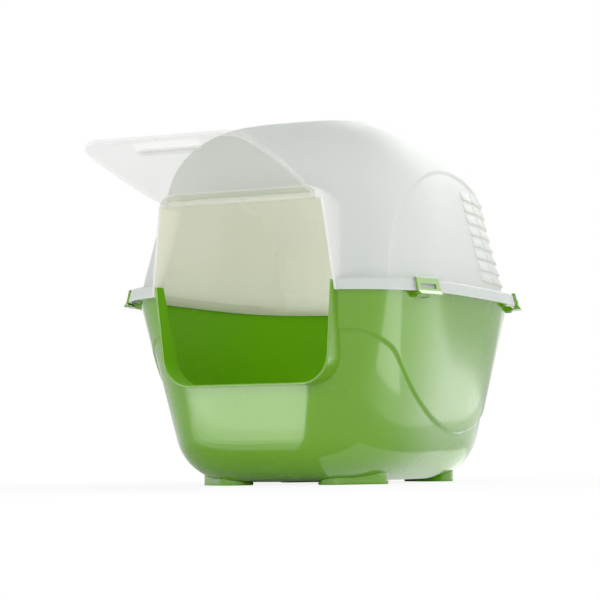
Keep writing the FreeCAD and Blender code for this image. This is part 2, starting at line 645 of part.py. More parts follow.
def flap():
    """Flap door: sheet, turned-in lip, finger grip, hinge barrel and trunnions, raised."""
    top = FLAP_THICKNESS / 2
    lip_z = -top - FLAP_LIP_DEPTH
    sheet = flap_block(0, 0, lip_z, top)
    hollow = flap_block(FLAP_LIP_WIDTH, BARREL_RADIUS + FLAP_LIP_WIDTH, lip_z - FLAP_LIP_DEPTH, -top)
    boss_spaces = [Part.makeCylinder(BOSS_RADIUS + BOSS_GAP, FLAP_TOP_SIDE_GAP,
                                     vec(side * FLAP_HINGE_HALF_WIDTH, 0, 0), vec(side, 0, 0))
                   for side in (-1, 1)]
    door = sheet.cut(hollow).cut(boss_spaces)
    barrel = Part.makeCylinder(BARREL_RADIUS, 2 * FLAP_HINGE_HALF_WIDTH,
                               vec(-FLAP_HINGE_HALF_WIDTH, 0, 0), vec(1, 0, 0))
    pin_length = 2 * (FLAP_HINGE_HALF_WIDTH + TRUNNION_LENGTH)
    pin = Part.makeCylinder(TRUNNION_RADIUS, pin_length, vec(-pin_length / 2, 0, 0), vec(1, 0, 0))
    cup_z = -top - GRIP_DEPTH
    door = door.fuse([barrel, pin, grip_block(0, cup_z, top)])
    door = door.cut(grip_block(GRIP_WALL, cup_z + GRIP_WALL, top + FLAP_THICKNESS))
    door.rotate(vec(0, 0, 0), vec(1, 0, 0), -FLAP_RAISE)
    door.translate(vec(0, HINGE_Y, HINGE_Z))
    return door


def frame_shift():
    """Moves the origin to the middle of the footprint, from the raised flap to the rear rim."""
    raise_angle = math.radians(FLAP_RAISE)
    lip = FLAP_THICKNESS / 2 + FLAP_LIP_DEPTH
    front = HINGE_Y - FLAP_LENGTH * math.cos(raise_angle) - lip * math.sin(raise_angle)
    return -(front + RIM_HALF_LENGTH) / 2


def main():
    os.makedirs("parts", exist_ok=True)
    pieces = {"base_tray": tray(sweep_region()), "hood": hood(arch_region()), "flap_door": flap()}
    underside = tray_form(-FOOT_GAP, TRAY_TOP_Z)
    for name, x_side, y_side in corner_places():
        pieces["latch_" + name] = place(clip(), rim_place(x_side, y_side))
        pad = foot_pad().cut(pegs(PEG_RADIUS + PEG_GAP, SOCKET_FLOOR, 2 * FOOT_HEIGHT))
        pieces["foot_" + name] = place(pad, foot_place(x_side, y_side)).cut(underside)
    shift = frame_shift()
    print("body centre moved along Y by", round(shift, 3))
    print("flap hinge", round(HINGE_Y + shift, 3), HINGE_Z)
    for name, x_side, y_side in corner_places():
        frame = rim_place(x_side, y_side)
        pivot_x, pivot_z = clip_pivot()
        point = frame.multVec(vec(pivot_x, 0, pivot_z))
        axis = frame.Rotation.multVec(vec(0, 1, 0))
        print("latch", name, [round(v, 3) for v in (point.x, point.y + shift, point.z)],
              [round(v, 6) for v in axis])
    for name, shape in pieces.items():
        shape.translate(vec(0, shift, 0))
        print(name, len(shape.Solids), shape.isValid(), round(shape.Volume))
        shape.exportStep("parts/" + name + ".step")


if __name__ == "__main__":
    main()
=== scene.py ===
import math

import bmesh
import bpy
import numpy as np
from mathutils import Matrix, Vector


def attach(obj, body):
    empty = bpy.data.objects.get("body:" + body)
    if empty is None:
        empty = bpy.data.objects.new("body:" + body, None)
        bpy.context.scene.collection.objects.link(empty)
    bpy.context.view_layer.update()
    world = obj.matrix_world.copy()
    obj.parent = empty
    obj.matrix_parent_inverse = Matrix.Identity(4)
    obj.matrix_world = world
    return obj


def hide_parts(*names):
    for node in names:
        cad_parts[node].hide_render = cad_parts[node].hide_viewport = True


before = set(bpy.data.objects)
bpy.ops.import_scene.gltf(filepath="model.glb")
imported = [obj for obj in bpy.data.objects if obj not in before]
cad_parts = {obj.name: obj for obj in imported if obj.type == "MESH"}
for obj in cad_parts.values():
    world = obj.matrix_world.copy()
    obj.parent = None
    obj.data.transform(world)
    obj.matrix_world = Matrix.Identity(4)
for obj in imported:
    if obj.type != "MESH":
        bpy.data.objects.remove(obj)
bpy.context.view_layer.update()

# Sizes are in millimetres and in the body's own frame: the floor at Z = 0, the origin under the
# middle of the rim, the doorway towards -Y. BODY_Y moves them into the shared frame.
MM = 0.001
BODY_Y = 90.587

# Rim plan
RIM_HALF_WIDTH = 189.0
RIM_HALF_LENGTH = 240.0
PLAN_POWER = 3.36

# Tray
TRAY_HEIGHT = 203.3
UNDERSIDE_Z = 3.5
TRAY_SETBACK = 13.4
TRAY_DRAFT = math.radians(12.4)
TRAY_BOTTOM_RADIUS = 58.0
TRAY_WALL = 3.0
SWEEP_STEP = 2.0
SWEEP_WIDTH = 4.0
SWEEP_LINE = [(-330, 163), (-260, 163), (-204, 163), (-195, 162), (-186, 159), (-177, 154), (-166, 148),
              (-156, 140), (-140, 122), (-120, 103), (-96, 87), (-64, 72), (-34, 63), (-8, 58), (22, 55),
              (48, 57), (73, 61), (107, 71), (140, 89), (170, 112), (190, 135), (204, 150), (260, 152),
              (330, 152)]

# Rim of the hood over the tray
SKIRT_HEIGHT = 13.5
SKIRT_WALL = 2.5
SKIRT_EDGE = 0.8
SKIRT_LEAN = math.tan(math.radians(12))
FLANGE_THICKNESS = 3.0
FLANGE_EDGE_RADIUS = 3.5
LEDGE_THICKNESS = 2.5
LEDGE_GAP = 0.6
SPIGOT_GAP = 0.6
SPIGOT_DEPTH = 7.0
RIM_TOP_Z = TRAY_HEIGHT + SKIRT_HEIGHT
TRAY_TOP_Z = RIM_TOP_Z - FLANGE_THICKNESS

# Hood
HOOD_HEIGHT = 192.7
HOOD_SETBACK = 13.0
HOOD_DRAFT = math.radians(12.85)
HOOD_SHOULDER_RADIUS = 93.0
HOOD_CROWN_RADIUS = 411.0
CROWN_LAST_TURN = math.radians(89.6)
HOOD_WALL = 3.0
CROWN_Z = RIM_TOP_Z + HOOD_HEIGHT
HOOD_ASPECT = (RIM_HALF_LENGTH - HOOD_SETBACK) / (RIM_HALF_WIDTH - HOOD_SETBACK)
ARCH_STEP = 2.0
ARCH_WIDTH = 5.0
ARCH_INNER_WIDTH = 8.0
ARCH_GROOVE = 1.5
ARCH_LINE = [(-194, 160), (-186, 195), (-179, 220), (-172, 240), (-165, 256), (-156.5, 272.5),
             (-145.5, 288.5), (-132, 303.5), (-114, 315.5), (-85, 330.5), (-57, 340), (-24, 346), (0, 348),
             (24, 347.5), (57, 343), (88, 334.5), (110, 325.5), (128, 313.5), (144, 298.5), (157, 281.5),
             (168, 263), (177, 244), (183, 228), (188, 210), (196, 170)]

# Louvre pads
PAD_ROWS = 8
PAD_PITCH = 13.4
PAD_HEIGHT = 10.4
PAD_RISE = 2.6
PAD_ROOT = 2.4
PAD_EDGE = 1.1
PAD_FIRST_Z = RIM_TOP_Z + 10.0
PAD_WIDTH = 36.0
PAD_COLUMN_PITCH = 40.0
PAD_FRONT_Y = 8.0
# Shares of a pad's width from its middle, and of its rise there
PAD_ACROSS = (-0.5, -0.485, -0.46, -0.42, -0.3, -0.15, 0, 0.15, 0.3, 0.42, 0.46, 0.485, 0.5)
PAD_LIFTS = (0.3, 0.62, 0.85, 1, 1, 1, 1, 1, 1, 1, 0.85, 0.62, 0.3)

# Doorway
SILL_HEIGHT = 108.0
ROOF_Z = 311.0
SILL_HALF_WIDTH = 92.5
DOOR_RIM_HALF_WIDTH = 101.0
DOOR_TOP_HALF_WIDTH = 92.0
SILL_CORNER_RADIUS = 30.0
DOOR_TOP_CORNER_RADIUS = 18.0
PORTAL_WALL = 2.5
PORTAL_GAP = 0.5
PORTAL_EDGE = 1.1
PORTAL_LEAN = math.radians(2.7)
PORTAL_BACK_Y = -144.0
SILL_FRONT_Y = 12.0 - RIM_HALF_LENGTH

# Flap
HINGE_Z = 303.0
HINGE_INSET = 5.2
FLAP_RAISE = math.radians(13.0)
FLAP_LENGTH = 193.0
FLAP_THICKNESS = 2.0
FLAP_HINGE_HALF_WIDTH = 86.0
FLAP_MID_HALF_WIDTH = 94.0
FLAP_END_HALF_WIDTH = 88.0
FLAP_CORNER_RADIUS = 24.0
FLAP_CORNER_START = 0.93
FLAP_CORNER_SHARE = 0.9
FLAP_LIP_WIDTH = 1.8
FLAP_LIP_DEPTH = 4.0
FLAP_EDGE = 0.7
FLAP_HOLLOW_EDGE = 0.6
BARREL_RADIUS = 4.0
TRUNNION_RADIUS = 2.0
TRUNNION_LENGTH = 3.2
BOSS_RADIUS = 4.5
BOSS_GAP = 0.4
BARREL_END_GAP = 0.3
BARREL_RIBS = 9
BARREL_RIB_DEPTH = 0.35
GRIP_HALF_WIDTH = 37.5
GRIP_HALF_LENGTH = 11.0
GRIP_DEPTH = 7.0
GRIP_WALL = 2.0
GRIP_CORNER_RADIUS = 7.0
GRIP_TAPER = 2.5
GRIP_FROM_END = 24.0
GRIP_MOUTH_EDGE = 0.8
# Lower edges of the grip's cup and pocket: inset past the taper, and height
GRIP_CUP_EDGE = [(2, 0), (0.7, 0.5), (0, 1.8)]
GRIP_POCKET_EDGE = [(1.2, 0), (0.3, 0.4), (-0.2, 1.4)]

# Clips and their ears
CLIP_Y = 147.0
CLIP_WIDTH = 39.5
CLIP_THICKNESS = 1.6
CLIP_GAP = 0.6
CLIP_HOOK_REACH = 2.2
CLIP_HOOK_THICKNESS = 0.9
CLIP_HOOK_GAP = 0.3
CLIP_TAB = 3.0
CLIP_TAB_EDGE = 1.0
CLIP_EAR_GAP = 1.6
CLIP_PIVOT_INSET = 8.5
CLIP_PIVOT_Z = TRAY_HEIGHT - 3.0
CLIP_KNUCKLE_RADIUS = 2.8
CLIP_KNUCKLE_WIDTH = 16.0
CLIP_PIN_RADIUS = 1.5
CLIP_PIN_LENGTH = 2.2
CLIP_WINDOW_WIDTH = 26.0
CLIP_WINDOW_HEIGHT = 5.0
CLIP_WINDOW_RADIUS = 1
CLIP_SECTION_RADII = [0, 0.35, 0.4, 2.5, 0.6, 0.3, 0.3, 0.4, 0.8, 0]
CLIP_FACE_RADII = [5, 5, 2.2, 2.2]
CLIP_BEVEL = 0.25
EAR_THICKNESS = 3.0
EAR_RADIUS = 3.2
EAR_GAP = 0.3

# Foot pads
FOOT_BEVEL = 0.6

CORNERS = {"front_left": (-1, -1), "front_right": (1, -1), "rear_left": (-1, 1), "rear_right": (1, 1)}
FAR = 60.0
SMOOTH_ANGLE = math.radians(32)

# Mesh counts: points around, then rings on each stretch of the form
TRAY_OUTER_MESH = (900, 40, 140)
TRAY_INNER_MESH = (460, 24, 72)
LEDGE_AROUND = 400
HOOD_OUTER_MESH = (760, 60, 70, 18)
HOOD_INNER_MESH = (460, 40, 40, 10)
BARREL_AROUND = 96

# Plastics: the two colours of the flow marks, the range of roughness, the grain's strength and depth
GREEN = ((0.15, 0.37, 0.002), (0.162, 0.388, 0.003), (0.2, 0.28), (0.012, 0.0001))
GREEN_INSIDE = (0.16, 0.47, 0.001, 1)
GREEN_INSIDE_ROUGHNESS = 0.55
GREEN_SPECULAR = (0.2, 0.1)
GREEN_IOR = 1.52
SKIN_IOR = 1.64
SKIN_ROUGHNESS = 0.09
WHITE = ((0.825, 0.845, 0.895), (0.85, 0.865, 0.91), (0.34, 0.42), (0.03, 0.0001))
# Painted light: warm cream on the hood's inner faces, for light through the wall and off the green tray
WHITE_INSIDE_PAINTED_LIGHT = (0.94, 0.925, 0.78, 1)
WHITE_THROUGH = (0.97, 0.96, 0.93, 1)
WHITE_THROUGH_SHARE = 0.5
CLEAR = ((0.89, 0.89, 0.865), (0.93, 0.915, 0.87), (0.18, 0.26), (0.02, 0.0001))
CLEAR_ALPHA = 0.22
# Heights that the insides are turned towards, and how softly inside and outside part
TRAY_MIDDLE_Z = 300
HOOD_MIDDLE_Z = 230
INSIDE_SOFTNESS = 0.004
# Noises: scale, detail and roughness, and the part of their values that is used
FLOW_NOISE = (7.0, 3.0)
GRAIN_NOISE = (420.0, 2.0)
HANDLED_NOISE = (38.0, 4.0, 0.6)
NOISE_LOW = 0.3
NOISE_HIGH = 0.7

# Studio, in metres. The floor's share of white goes from low to high between two distances.
FLOOR_COLOUR = (0.86, 0.86, 0.86, 1)
FLOOR_HALF_SIZE = 9.0
FLOOR_ROUGHNESS = 0.9
FLOOR_SEEN = (0.88, 1.0, 0.3, 0.75)
FLOOR_REFLECTED = (0.0, 0.3, 0.3, 0.9)
AMBIENT_COLOUR = (0.93, 0.96, 1, 1)
AMBIENT_STRENGTH = 0.4
# Soft boxes: place, the point that they face, size, and brightness, where 1 is white
SOFT_BOXES = {"right_box": ((1.3, 0.55, 0.75), (0, 0.09, 0.25), (1.2, 1.1), 1.45),
              "overhead": ((0.35, 0.45, 1.6), (0, 0.09, 0.2), (1.6, 1.4), 0.34),
              "back_box": ((0.2, 1.4, 1.05), (0, 0.09, 0.3), (1.4, 0.9), 3.0),
              "front_box": ((0.8, -2.1, 0.5), (0, 0, 0.12), (1.2, 0.8), 5.4),
              "left_box": ((-1.0, -0.7, 0.5), (0, 0.05, 0.15), (0.8, 0.8), 1.9)}
# Cards, which lie on the floor and show only in reflections: place, size and brightness
CARDS = {"low_card": ((0.11, 0.12, 0.003), (0.1, 0.44), 0.5),
         "side_card": ((0.75, 0.0, 0.009), (0.7, 0.24), 1.5)}
# Cards in layers of growing reach, for soft edges, each layer at its own height because lights in one
# plane count only once: place and size of the first layer, what the next ones add, and brightness
CARD_LAYERS = 4
LAYERED_CARDS = {"right_card": ((0.85, 0.45, 0.004), (1.1, 1.3), (0, 0.06, 0.001), (0, 0), 0.17),
                 "front_card": ((-0.135, -0.39, 0.004), (0.33, 0.52), (-0.03, -0.015, 0.001), (0.06, -0.03),
                                0.78)}


def smooth_line(points, step=7.0):
    """Smooth curve through points in side view, as dense points."""
    p = np.array(points, float)
    p = np.concatenate([[2 * p[0] - p[1]], p, [2 * p[-1] - p[-2]]])
    dense = []
    for k in range(1, len(p) - 2):
        a, b, c, d = p[k - 1:k + 3]
        count = max(2, int(np.linalg.norm(c - b) / step))
        t = np.linspace(0, 1, count, endpoint=False)[:, None]
        dense.append(0.5 * (2 * b + (c - a) * t + (2 * a - 5 * b + 4 * c - d) * t ** 2
                            + (3 * b - a - 3 * c + d) * t ** 3))
    dense.append(p[-2:-1])
    return np.concatenate(dense)


def below_line(y, z, line, width):
    """1 below a line drawn in side view and 0 above it, with a soft change across it."""
    a = line[:-1]
    edge = line[1:] - a
    spots = np.stack([y, z], 1)[:, None, :] - a[None]
    t = np.clip((spots * edge).sum(2) / (edge ** 2).sum(1), 0, 1)
    gap = np.sqrt(((spots - t[..., None] * edge) ** 2).sum(2)).min(1)
    side = np.where(z < np.interp(y, line[:, 0], line[:, 1], left=-1000), 1, -1)
    t = np.clip(0.5 + side * gap / width, 0, 1)
    return t * t * (3 - 2 * t)


def plan_unit(count):
    """Points of the unit plan, evenly spaced along the rim."""
    fine = np.linspace(0, 2 * np.pi, 20001)
    reach = (np.abs(np.cos(fine)) ** PLAN_POWER + np.abs(np.sin(fine)) ** PLAN_POWER) ** (-1 / PLAN_POWER)
    x = np.cos(fine) * reach
    y = np.sin(fine) * reach
    walk = np.cumsum(np.hypot(np.diff(x) * RIM_HALF_WIDTH, np.diff(y) * RIM_HALF_LENGTH))
    walk = np.concatenate([[0], walk])
    spots = np.linspace(0, walk[-1], count, endpoint=False)
    return np.interp(spots, walk, x), np.interp(spots, walk, y)


def front_y(z):
    """Front edge of the doorway at a height."""
    return SILL_FRONT_Y - (z - SILL_HEIGHT) * math.tan(PORTAL_LEAN)


def add_object(name, points, faces):
    """Object from points in the body's frame, its faces all turned outwards."""
    mesh = bpy.data.meshes.new(name)
    moved = (np.asarray(points) + (0, BODY_Y, 0)) * MM
    mesh.from_pydata(moved.tolist(), [], faces)
    work = bmesh.new()
    work.from_mesh(mesh)
    bmesh.ops.recalc_face_normals(work, faces=work.faces)
    work.to_mesh(mesh)
    work.free()
    obj = bpy.data.objects.new(name, mesh)
    bpy.context.scene.collection.objects.link(obj)
    return obj


def ring_faces(rings, around, closed, start=0):
    """Quads between rings of points, with end caps or a last strip back to the first ring."""
    k = np.arange(around)
    after = (k + 1) % around
    faces = []
    for r in range(rings if closed else rings - 1):
        low = start + r * around
        high = start + (r + 1) % rings * around
        faces += np.stack([low + k, low + after, high + after, high + k], 1).tolist()
    if not closed:
        faces.append((start + k[::-1]).tolist())
        faces.append((start + (rings - 1) * around + k).tolist())
    return faces


def solid(name, rings, closed=False):
    """Closed object through rings of points."""
    rings = np.asarray(rings, float)
    faces = ring_faces(len(rings), rings.shape[1], closed)
    return add_object(name, rings.reshape(-1, 3), faces)


def solids(name, many):
    """One object of several separate closed forms."""
    points = []
    faces = []
    start = 0
    for rings in many:
        rings = np.asarray(rings, float)
        faces += ring_faces(len(rings), rings.shape[1], False, start)
        points.append(rings.reshape(-1, 3))
        start += len(points[-1])
    return add_object(name, np.concatenate(points), faces)


def combine(base, other, how):
    """Joins or cuts a closed object with another one, which goes away."""
    change = base.modifiers.new("combine", "BOOLEAN")
    change.object = other
    change.operation = how
    change.solver = "MANIFOLD"
    graph = bpy.context.evaluated_depsgraph_get()
    mesh = bpy.data.meshes.new_from_object(base.evaluated_get(graph))
    base.modifiers.clear()
    old = base.data
    base.data = mesh
    mesh.name = base.name
    bpy.data.meshes.remove(old)
    gone = other.data
    bpy.data.objects.remove(other)
    bpy.data.meshes.remove(gone)


def shade(obj):
    """Smooth shading with sharp edges where faces meet at more than an angle."""
    mesh = obj.data
    mesh.polygons.foreach_set("use_smooth", np.ones(len(mesh.polygons), bool))
    mesh.set_sharp_from_angle(angle=SMOOTH_ANGLE)
    mesh.update()


def plan_rings(stations, count):
    """Level rings inside the rim's plan, from pairs of inset and height."""
    x, y = plan_unit(count)
    rings = []
    for inset, z in stations:
        rings.append(np.stack([(RIM_HALF_WIDTH - inset) * x, (RIM_HALF_LENGTH - inset) * y,
                               np.full(count, float(z))], 1))
    return rings


def tray_inset(z, inset):
    """Rim edge to the tray's straight wall at a height."""
    return TRAY_SETBACK + (TRAY_HEIGHT - z) * math.tan(TRAY_DRAFT) + inset / math.cos(TRAY_DRAFT)


def tray_rings(inset, count, arc_steps, wall_steps, top_z):
    """The tray's form moved in by the inset, its upper panel proud of the lower one."""
    line = smooth_line(SWEEP_LINE)
    centre_z = UNDERSIDE_Z + TRAY_BOTTOM_RADIUS
    wall_z = centre_z - TRAY_BOTTOM_RADIUS * math.sin(TRAY_DRAFT)
    centre_inset = tray_inset(wall_z, 0) + TRAY_BOTTOM_RADIUS * math.cos(TRAY_DRAFT)
    last_turn = math.pi / 2 - TRAY_DRAFT
    stations = []
    for turn in np.linspace(0, last_turn, arc_steps + 1):
        stations.append((centre_inset - TRAY_BOTTOM_RADIUS * math.sin(turn),
                         centre_z - TRAY_BOTTOM_RADIUS * math.cos(turn), turn))
    for z in np.linspace(wall_z, top_z, wall_steps + 1)[1:]:
        stations.append((tray_inset(z, 0), z, last_turn))
    x, y = plan_unit(count)
    rings = []
    for base, z, turn in stations:
        depth = base + inset * math.sin(turn)
        height = np.full(count, z + inset * math.cos(turn))
        low = below_line((RIM_HALF_LENGTH - depth) * y, height, line, SWEEP_WIDTH)
        move = inset - SWEEP_STEP * (1 - low)
        depth = base + move * math.sin(turn)
        rings.append(np.stack([(RIM_HALF_WIDTH - depth) * x, (RIM_HALF_LENGTH - depth) * y,
                               z + move * math.cos(turn)], 1))
    return rings


def hood_shoulder():
    """Centre of the shoulder's arc, which touches the straight wall and the crown's arc."""
    slope = math.tan(HOOD_DRAFT)
    line = (RIM_HALF_WIDTH - HOOD_SETBACK + RIM_TOP_Z * slope
            - HOOD_SHOULDER_RADIUS / math.cos(HOOD_DRAFT))
    crown_z = CROWN_Z - HOOD_CROWN_RADIUS
    a = 1 + slope ** 2
    b = -2 * (line * slope + crown_z)
    c = line ** 2 + crown_z ** 2 - (HOOD_CROWN_RADIUS - HOOD_SHOULDER_RADIUS) ** 2
    z = (-b + math.sqrt(b * b - 4 * a * c)) / (2 * a)
    return line - z * slope, z


def hood_reach(z):
    """Half width of the hood at a height on its wall or shoulder."""
    shoulder_x, shoulder_z = hood_shoulder()
    if z < shoulder_z + HOOD_SHOULDER_RADIUS * math.sin(HOOD_DRAFT):
        return RIM_HALF_WIDTH - HOOD_SETBACK - (z - RIM_TOP_Z) * math.tan(HOOD_DRAFT)
    return shoulder_x + math.sqrt(HOOD_SHOULDER_RADIUS ** 2 - (z - shoulder_z) ** 2)


def hood_rings(inset, count, wall_steps, shoulder_steps, crown_steps, low_z):
    """The hood's form moved in by the inset: side panels under an arch, with a groove along it inside."""
    line = smooth_line(ARCH_LINE)
    shoulder_x, shoulder_z = hood_shoulder()
    crown_z = CROWN_Z - HOOD_CROWN_RADIUS
    crown_turn = math.atan2(shoulder_z - crown_z, shoulder_x)
    wall_top_z = shoulder_z + HOOD_SHOULDER_RADIUS * math.sin(HOOD_DRAFT)
    stations = []
    for z in np.linspace(low_z, wall_top_z, wall_steps, endpoint=False):
        stations.append((hood_reach(z), z, HOOD_DRAFT))
    for turn in np.linspace(HOOD_DRAFT, crown_turn, shoulder_steps, endpoint=False):
        stations.append((shoulder_x + HOOD_SHOULDER_RADIUS * math.cos(turn),
                         shoulder_z + HOOD_SHOULDER_RADIUS * math.sin(turn), turn))
    for turn in np.linspace(crown_turn, CROWN_LAST_TURN, crown_steps):
        stations.append((HOOD_CROWN_RADIUS * math.cos(turn), crown_z + HOOD_CROWN_RADIUS * math.sin(turn),
                         turn))
    x, y = plan_unit(count)
    width = ARCH_INNER_WIDTH if inset else ARCH_WIDTH
    rings = []
    for half, z, turn in stations:
        low = below_line(half * HOOD_ASPECT * y, np.full(count, z), line, width)
        move = inset + ARCH_STEP * low
        if inset:
            move = move - ARCH_GROOVE * 4 * low * (1 - low)
        side = move * math.cos(turn)
        rings.append(np.stack([(half - side) * x, (half * HOOD_ASPECT - side) * y,
                               z - move * math.sin(turn)], 1))
    return rings


def rounded(corners, radii, steps=14):
    """Closed outline with rounded corners."""
    outline = []
    count = len(corners)
    for k, radius in enumerate(radii):
        p = np.array(corners[k], float)
        before = np.array(corners[k - 1], float) - p
        after = np.array(corners[(k + 1) % count], float) - p
        before /= np.linalg.norm(before)
        after /= np.linalg.norm(after)
        if not radius:
            outline.append(p)
            continue
        half = math.acos(np.clip(before @ after, -1, 1)) / 2
        middle = before + after
        centre = p + middle / np.linalg.norm(middle) * radius / math.sin(half)
        first = p + before * radius / math.tan(half) - centre
        last = p + after * radius / math.tan(half) - centre
        start = math.atan2(first[1], first[0])
        sweep = (math.atan2(last[1], last[0]) - start + math.pi) % (2 * math.pi) - math.pi
        for turn in np.linspace(start, start + sweep, steps + 1):
            outline.append(centre + radius * np.array([math.cos(turn), math.sin(turn)]))
    return np.array(outline)


def tray_outline(grow, top_z):
    """The doorway's lower half in front view, moved out by a wall."""
    flare = (DOOR_RIM_HALF_WIDTH - SILL_HALF_WIDTH) / (TRAY_TOP_Z - SILL_HEIGHT)
    side = grow * math.sqrt(1 + flare ** 2)
    low_z = SILL_HEIGHT - grow
    low = SILL_HALF_WIDTH - grow * flare + side
    high = SILL_HALF_WIDTH + (top_z - SILL_HEIGHT) * flare + side
    radius = SILL_CORNER_RADIUS + grow
    return rounded([(-low, low_z), (low, low_z), (high, top_z), (-high, top_z)], [radius, radius, 0, 0])


def hood_outline(grow, low_z):
    """The doorway's upper half in front view, moved out by a wall."""
    rim_half = DOOR_RIM_HALF_WIDTH + PORTAL_WALL + PORTAL_GAP
    flare = (rim_half - DOOR_TOP_HALF_WIDTH) / (ROOF_Z - TRAY_TOP_Z)
    side = grow * math.sqrt(1 + flare ** 2)
    high_z = ROOF_Z + grow
    high = DOOR_TOP_HALF_WIDTH - grow * flare + side
    low = rim_half + (TRAY_TOP_Z - low_z) * flare + side
    radius = DOOR_TOP_CORNER_RADIUS + grow
    return rounded([(-high, high_z), (high, high_z), (low, low_z), (-low, low_z)], [radius, radius, 0, 0])


def portal_rings(outline, end_z, grows):
    """Rings of a doorway block: front stations of depth and growth, and a flat inner end."""
    rings = []
    for depth, grow in grows:
        shape = outline(grow, end_z)
        rings.append(np.stack([shape[:, 0], front_y(shape[:, 1]) + depth, shape[:, 1]], 1))
    shape = outline(grows[-1][1], end_z)
    rings.append(np.stack([shape[:, 0], np.full(len(shape), PORTAL_BACK_Y), shape[:, 1]], 1))
    return rings


def portal_block(name, outline, end_z):
    """Solid doorway frame with a rounded front edge, before the doorway is cut out of it."""
    grows = []
    for turn in np.linspace(0, math.pi / 2, 6):
        grows.append((PORTAL_EDGE * (1 - math.cos(turn)),
                      PORTAL_WALL - PORTAL_EDGE * (1 - math.sin(turn))))
    return solid(name, portal_rings(outline, end_z, grows))


def portal_cut(name, outline, end_z):
    """The doorway's opening, its mouth rounded to meet the frame's front edge."""
    grows = [(-FAR, PORTAL_EDGE)]
    for turn in np.linspace(0, math.pi / 2, 6):
        grows.append((PORTAL_EDGE * (1 - math.cos(turn)), PORTAL_EDGE * (1 - math.sin(turn))))
    return solid(name, portal_rings(outline, end_z, grows))


def clip_frame(x_side, y_side):
    """Rim edge at a clip: the point on the floor below it, the way out and the way along."""
    y = CLIP_Y / RIM_HALF_LENGTH
    x = (1 - y ** PLAN_POWER) ** (1 / PLAN_POWER)
    out = np.array([x_side * x ** (PLAN_POWER - 1) / RIM_HALF_WIDTH,
                    y_side * y ** (PLAN_POWER - 1) / RIM_HALF_LENGTH, 0])
    out /= np.linalg.norm(out)
    spot = np.array([x_side * x * RIM_HALF_WIDTH, y_side * CLIP_Y, 0])
    return spot, out, np.array([-out[1], out[0], 0])


def ear_rings():
    """The eight ears under the rim that carry the clips."""
    wall = -tray_inset(CLIP_PIVOT_Z - EAR_RADIUS, 1)
    outline = [(wall, CLIP_PIVOT_Z - EAR_RADIUS)]
    for turn in np.linspace(-math.pi / 2, math.pi / 2, 13):
        outline.append((EAR_RADIUS * math.cos(turn) - CLIP_PIVOT_INSET,
                        CLIP_PIVOT_Z + EAR_RADIUS * math.sin(turn)))
    outline.append((wall, CLIP_PIVOT_Z + EAR_RADIUS))
    many = []
    for x_side, y_side in CORNERS.values():
        spot, out, along = clip_frame(x_side, y_side)
        for side in (-1, 1):
            near = CLIP_KNUCKLE_WIDTH / 2 + EAR_GAP
            ends = [near, near + EAR_THICKNESS]
            many.append([[spot + out * x + along * side * end + (0, 0, z) for x, z in outline]
                         for end in ends])
    return many


def make_tray():
    """Tray with its half of the doorway, its ledge and the clips' ears."""
    over_z = TRAY_TOP_Z + SKIRT_HEIGHT
    tray = solid("tray_shell", tray_rings(0, *TRAY_OUTER_MESH, TRAY_TOP_Z))
    combine(tray, portal_block("frame", tray_outline, TRAY_TOP_Z), "UNION")
    edge = SKIRT_WALL + LEDGE_GAP + (TRAY_TOP_Z - TRAY_HEIGHT) * SKIRT_LEAN
    ledge = [(edge, TRAY_TOP_Z - LEDGE_THICKNESS), (edge, TRAY_TOP_Z)]
    combine(tray, solid("ledge", plan_rings(ledge, LEDGE_AROUND)), "UNION")
    combine(tray, solids("ears", ear_rings()), "UNION")
    combine(tray, solid("inside", tray_rings(TRAY_WALL, *TRAY_INNER_MESH, over_z)), "DIFFERENCE")
    combine(tray, portal_cut("opening", tray_outline, over_z), "DIFFERENCE")
    return tray


def rim_section():
    """Section of the hood's rim: skirt, flange and spigot, as inset and height."""
    section = [(SKIRT_EDGE, TRAY_HEIGHT), (SKIRT_EDGE * 0.3, TRAY_HEIGHT + SKIRT_EDGE * 0.3),
               (0, TRAY_HEIGHT + SKIRT_EDGE)]
    round_z = RIM_TOP_Z - FLANGE_EDGE_RADIUS
    side = (round_z - TRAY_HEIGHT) * SKIRT_LEAN
    for turn in np.linspace(0, math.pi / 2, 8):
        section.append((side + FLANGE_EDGE_RADIUS * (1 - math.cos(turn)),
                        round_z + FLANGE_EDGE_RADIUS * math.sin(turn)))
    throat = HOOD_SETBACK + HOOD_WALL * math.cos(HOOD_DRAFT)
    spigot = TRAY_WALL - SWEEP_STEP + SPIGOT_GAP
    spigot_z = TRAY_TOP_Z - SPIGOT_DEPTH
    section += [(throat, RIM_TOP_Z), (throat, spigot_z), (tray_inset(spigot_z, spigot), spigot_z),
                (tray_inset(TRAY_TOP_Z, spigot), TRAY_TOP_Z), (SKIRT_WALL + side, TRAY_TOP_Z),
                (SKIRT_WALL, TRAY_HEIGHT)]
    return section


def hood_inside():
    """The space inside the hood and under its flange."""
    section = rim_section()
    throat_top, throat_low, spigot_low, spigot_top, groove_top = section[-6:-1]
    stations = [(SKIRT_WALL, TRAY_HEIGHT - SKIRT_HEIGHT), groove_top, spigot_top, spigot_low, throat_low,
                throat_top]
    throat = plan_rings(stations, HOOD_INNER_MESH[0])
    return solid("inside", throat + hood_rings(HOOD_WALL, *HOOD_INNER_MESH, RIM_TOP_Z + 1))


